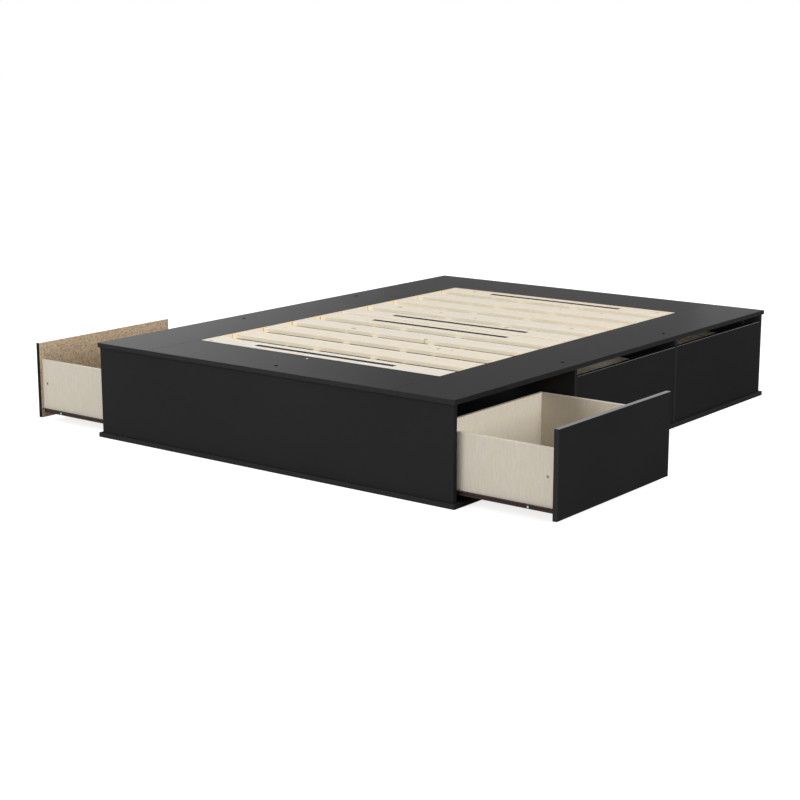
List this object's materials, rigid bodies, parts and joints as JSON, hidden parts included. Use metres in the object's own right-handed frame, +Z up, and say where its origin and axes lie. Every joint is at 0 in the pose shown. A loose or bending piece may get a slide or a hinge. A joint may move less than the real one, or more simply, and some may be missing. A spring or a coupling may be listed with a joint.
{
  "type": "platform bed with storage drawers",
  "caption": "Low platform bed with a slatted deck in a wide board border, and storage drawers on roller runners along both long sides, pulled open by a finger gap under the deck.",
  "frame": {"origin": "on the floor, at the middle of the bed's footprint", "axes": "+X across the bed, out of the right-hand drawers; +Y along the bed from foot to head; +Z up"},
  "size_m": [2.258, 2.083, 0.34],
  "materials": {
    "black_laminate": "black melamine laminate on particle board, satin faces with glossier edge band",
    "drawer_laminate": "beige paper laminate with a fine streaked, linen-like print",
    "hardboard": "thin hardboard with a matching beige printed face",
    "raw_pine": "planed pine, unfinished, with grain and small knots",
    "runner_steel": "dark brown epoxy-coated sheet steel",
    "roller_nylon": "moulded white nylon",
    "grip_strip": "black looped grip tape",
    "webbing": "flat woven webbing"
  },
  "bodies": {
    "bed": {"deck_left": "black_laminate", "deck_right": "black_laminate", "deck_foot": "black_laminate", "deck_head": "black_laminate", "foot_panel": "black_laminate", "head_panel": "black_laminate", "base_side_rails": "black_laminate", "base_end_rails": "black_laminate", "dividers_left": "black_laminate", "dividers_right": "black_laminate", "centre_spines": "black_laminate", "cross_braces": "black_laminate", "slat_ledges": "raw_pine", "slat_set_foot": "raw_pine", "slat_set_head": "raw_pine", "grip_strips": "grip_strip", "slat_straps": "webbing", "drawer_tracks": "runner_steel"},
    "drawer_right_foot": {"drawer_right_foot_front": "black_laminate", "drawer_right_foot_sides": "drawer_laminate", "drawer_right_foot_back": "drawer_laminate", "drawer_right_foot_bottom": "hardboard", "drawer_right_foot_runners": "runner_steel"},
    "drawer_right_foot_rear_rollers": {"drawer_right_foot_rollers": "roller_nylon"},
    "drawer_right_foot_front_rollers": {"track_rollers_right_foot": "roller_nylon"},
    "drawer_right_middle": {"drawer_right_middle_front": "black_laminate", "drawer_right_middle_sides": "drawer_laminate", "drawer_right_middle_back": "drawer_laminate", "drawer_right_middle_bottom": "hardboard", "drawer_right_middle_runners": "runner_steel"},
    "drawer_right_middle_rear_rollers": {"drawer_right_middle_rollers": "roller_nylon"},
    "drawer_right_middle_front_rollers": {"track_rollers_right_middle": "roller_nylon"},
    "drawer_right_head": {"drawer_right_head_front": "black_laminate", "drawer_right_head_sides": "drawer_laminate", "drawer_right_head_back": "drawer_laminate", "drawer_right_head_bottom": "hardboard", "drawer_right_head_runners": "runner_steel"},
    "drawer_right_head_rear_rollers": {"drawer_right_head_rollers": "roller_nylon"},
    "drawer_right_head_front_rollers": {"track_rollers_right_head": "roller_nylon"},
    "drawer_left_foot": {"drawer_left_foot_front": "black_laminate", "drawer_left_foot_sides": "drawer_laminate", "drawer_left_foot_back": "drawer_laminate", "drawer_left_foot_bottom": "hardboard", "drawer_left_foot_runners": "runner_steel"},
    "drawer_left_foot_rear_rollers": {"drawer_left_foot_rollers": "roller_nylon"},
    "drawer_left_foot_front_rollers": {"track_rollers_left_foot": "roller_nylon"},
    "drawer_left_middle": {"drawer_left_middle_front": "black_laminate", "drawer_left_middle_sides": "drawer_laminate", "drawer_left_middle_back": "drawer_laminate", "drawer_left_middle_bottom": "hardboard", "drawer_left_middle_runners": "runner_steel"},
    "drawer_left_middle_rear_rollers": {"drawer_left_middle_rollers": "roller_nylon"},
    "drawer_left_middle_front_rollers": {"track_rollers_left_middle": "roller_nylon"},
    "drawer_left_head": {"drawer_left_head_front": "black_laminate", "drawer_left_head_sides": "drawer_laminate", "drawer_left_head_back": "drawer_laminate", "drawer_left_head_bottom": "hardboard", "drawer_left_head_runners": "runner_steel"},
    "drawer_left_head_rear_rollers": {"drawer_left_head_rollers": "roller_nylon"},
    "drawer_left_head_front_rollers": {"track_rollers_left_head": "roller_nylon"}
  },
  "joints": [
    {"name": "drawer_right_foot_slide", "type": "slide", "parent": "bed", "child": "drawer_right_foot", "axis": [1, 0, 0], "range_m": [-0.36, 0]},
    {"name": "drawer_right_foot_rear_rollers_turn", "type": "hinge", "parent": "drawer_right_foot", "child": "drawer_right_foot_rear_rollers", "pos_m": [0.674, -0.68233, 0.0385], "axis": [0, 1, 0], "range_deg": [-1880, 0]},
    {"name": "drawer_right_foot_front_rollers_turn", "type": "hinge", "parent": "bed", "child": "drawer_right_foot_front_rollers", "pos_m": [0.736, -0.68233, 0.0405], "axis": [0, 1, 0], "range_deg": [-1880, 0]},
    {"name": "drawer_right_middle_slide", "type": "slide", "parent": "bed", "child": "drawer_right_middle", "axis": [1, 0, 0], "range_m": [0, 0.36]},
    {"name": "drawer_right_middle_rear_rollers_turn", "type": "hinge", "parent": "drawer_right_middle", "child": "drawer_right_middle_rear_rollers", "pos_m": [0.314, 0, 0.0385], "axis": [0, 1, 0], "range_deg": [0, 1880]},
    {"name": "drawer_right_middle_front_rollers_turn", "type": "hinge", "parent": "bed", "child": "drawer_right_middle_front_rollers", "pos_m": [0.736, 0, 0.0405], "axis": [0, 1, 0], "range_deg": [0, 1880]},
    {"name": "drawer_right_head_slide", "type": "slide", "parent": "bed", "child": "drawer_right_head", "axis": [1, 0, 0], "range_m": [0, 0.36]},
    {"name": "drawer_right_head_rear_rollers_turn", "type": "hinge", "parent": "drawer_right_head", "child": "drawer_right_head_rear_rollers", "pos_m": [0.314, 0.68233, 0.0385], "axis": [0, 1, 0], "range_deg": [0, 1880]},
    {"name": "drawer_right_head_front_rollers_turn", "type": "hinge", "parent": "bed", "child": "drawer_right_head_front_rollers", "pos_m": [0.736, 0.68233, 0.0405], "axis": [0, 1, 0], "range_deg": [0, 1880]},
    {"name": "drawer_left_foot_slide", "type": "slide", "parent": "bed", "child": "drawer_left_foot", "axis": [-1, 0, 0], "range_m": [-0.36, 0]},
    {"name": "drawer_left_foot_rear_rollers_turn", "type": "hinge", "parent": "drawer_left_foot", "child": "drawer_left_foot_rear_rollers", "pos_m": [-0.674, -0.68233, 0.0385], "axis": [0, -1, 0], "range_deg": [-1880, 0]},
    {"name": "drawer_left_foot_front_rollers_turn", "type": "hinge", "parent": "bed", "child": "drawer_left_foot_front_rollers", "pos_m": [-0.736, -0.68233, 0.0405], "axis": [0, -1, 0], "range_deg": [-1880, 0]},
    {"name": "drawer_left_middle_slide", "type": "slide", "parent": "bed", "child": "drawer_left_middle", "axis": [-1, 0, 0], "range_m": [0, 0.36]},
    {"name": "drawer_left_middle_rear_rollers_turn", "type": "hinge", "parent": "drawer_left_middle", "child": "drawer_left_middle_rear_rollers", "pos_m": [-0.314, 0, 0.0385], "axis": [0, -1, 0], "range_deg": [0, 1880]},
    {"name": "drawer_left_middle_front_rollers_turn", "type": "hinge", "parent": "bed", "child": "drawer_left_middle_front_rollers", "pos_m": [-0.736, 0, 0.0405], "axis": [0, -1, 0], "range_deg": [0, 1880]},
    {"name": "drawer_left_head_slide", "type": "slide", "parent": "bed", "child": "drawer_left_head", "axis": [-1, 0, 0], "range_m": [0, 0.36]},
    {"name": "drawer_left_head_rear_rollers_turn", "type": "hinge", "parent": "drawer_left_head", "child": "drawer_left_head_rear_rollers", "pos_m": [-0.314, 0.68233, 0.0385], "axis": [0, -1, 0], "range_deg": [0, 1880]},
    {"name": "drawer_left_head_front_rollers_turn", "type": "hinge", "parent": "bed", "child": "drawer_left_head_front_rollers", "pos_m": [-0.736, 0.68233, 0.0405], "axis": [0, -1, 0], "range_deg": [0, 1880]}
  ],
  "couplings": [
    {"joint": "drawer_right_foot_rear_rollers_turn", "follows": "drawer_right_foot_slide", "rad_per_m": 90.909},
    {"joint": "drawer_right_foot_front_rollers_turn", "follows": "drawer_right_foot_slide", "rad_per_m": 90.909},
    {"joint": "drawer_right_middle_rear_rollers_turn", "follows": "drawer_right_middle_slide", "rad_per_m": 90.909},
    {"joint": "drawer_right_middle_front_rollers_turn", "follows": "drawer_right_middle_slide", "rad_per_m": 90.909},
    {"joint": "drawer_right_head_rear_rollers_turn", "follows": "drawer_right_head_slide", "rad_per_m": 90.909},
    {"joint": "drawer_right_head_front_rollers_turn", "follows": "drawer_right_head_slide", "rad_per_m": 90.909},
    {"joint": "drawer_left_foot_rear_rollers_turn", "follows": "drawer_left_foot_slide", "rad_per_m": 90.909},
    {"joint": "drawer_left_foot_front_rollers_turn", "follows": "drawer_left_foot_slide", "rad_per_m": 90.909},
    {"joint": "drawer_left_middle_rear_rollers_turn", "follows": "drawer_left_middle_slide", "rad_per_m": 90.909},
    {"joint": "drawer_left_middle_front_rollers_turn", "follows": "drawer_left_middle_slide", "rad_per_m": 90.909},
    {"joint": "drawer_left_head_rear_rollers_turn", "follows": "drawer_left_head_slide", "rad_per_m": 90.909},
    {"joint": "drawer_left_head_front_rollers_turn", "follows": "drawer_left_head_slide", "rad_per_m": 90.909}
  ]
}
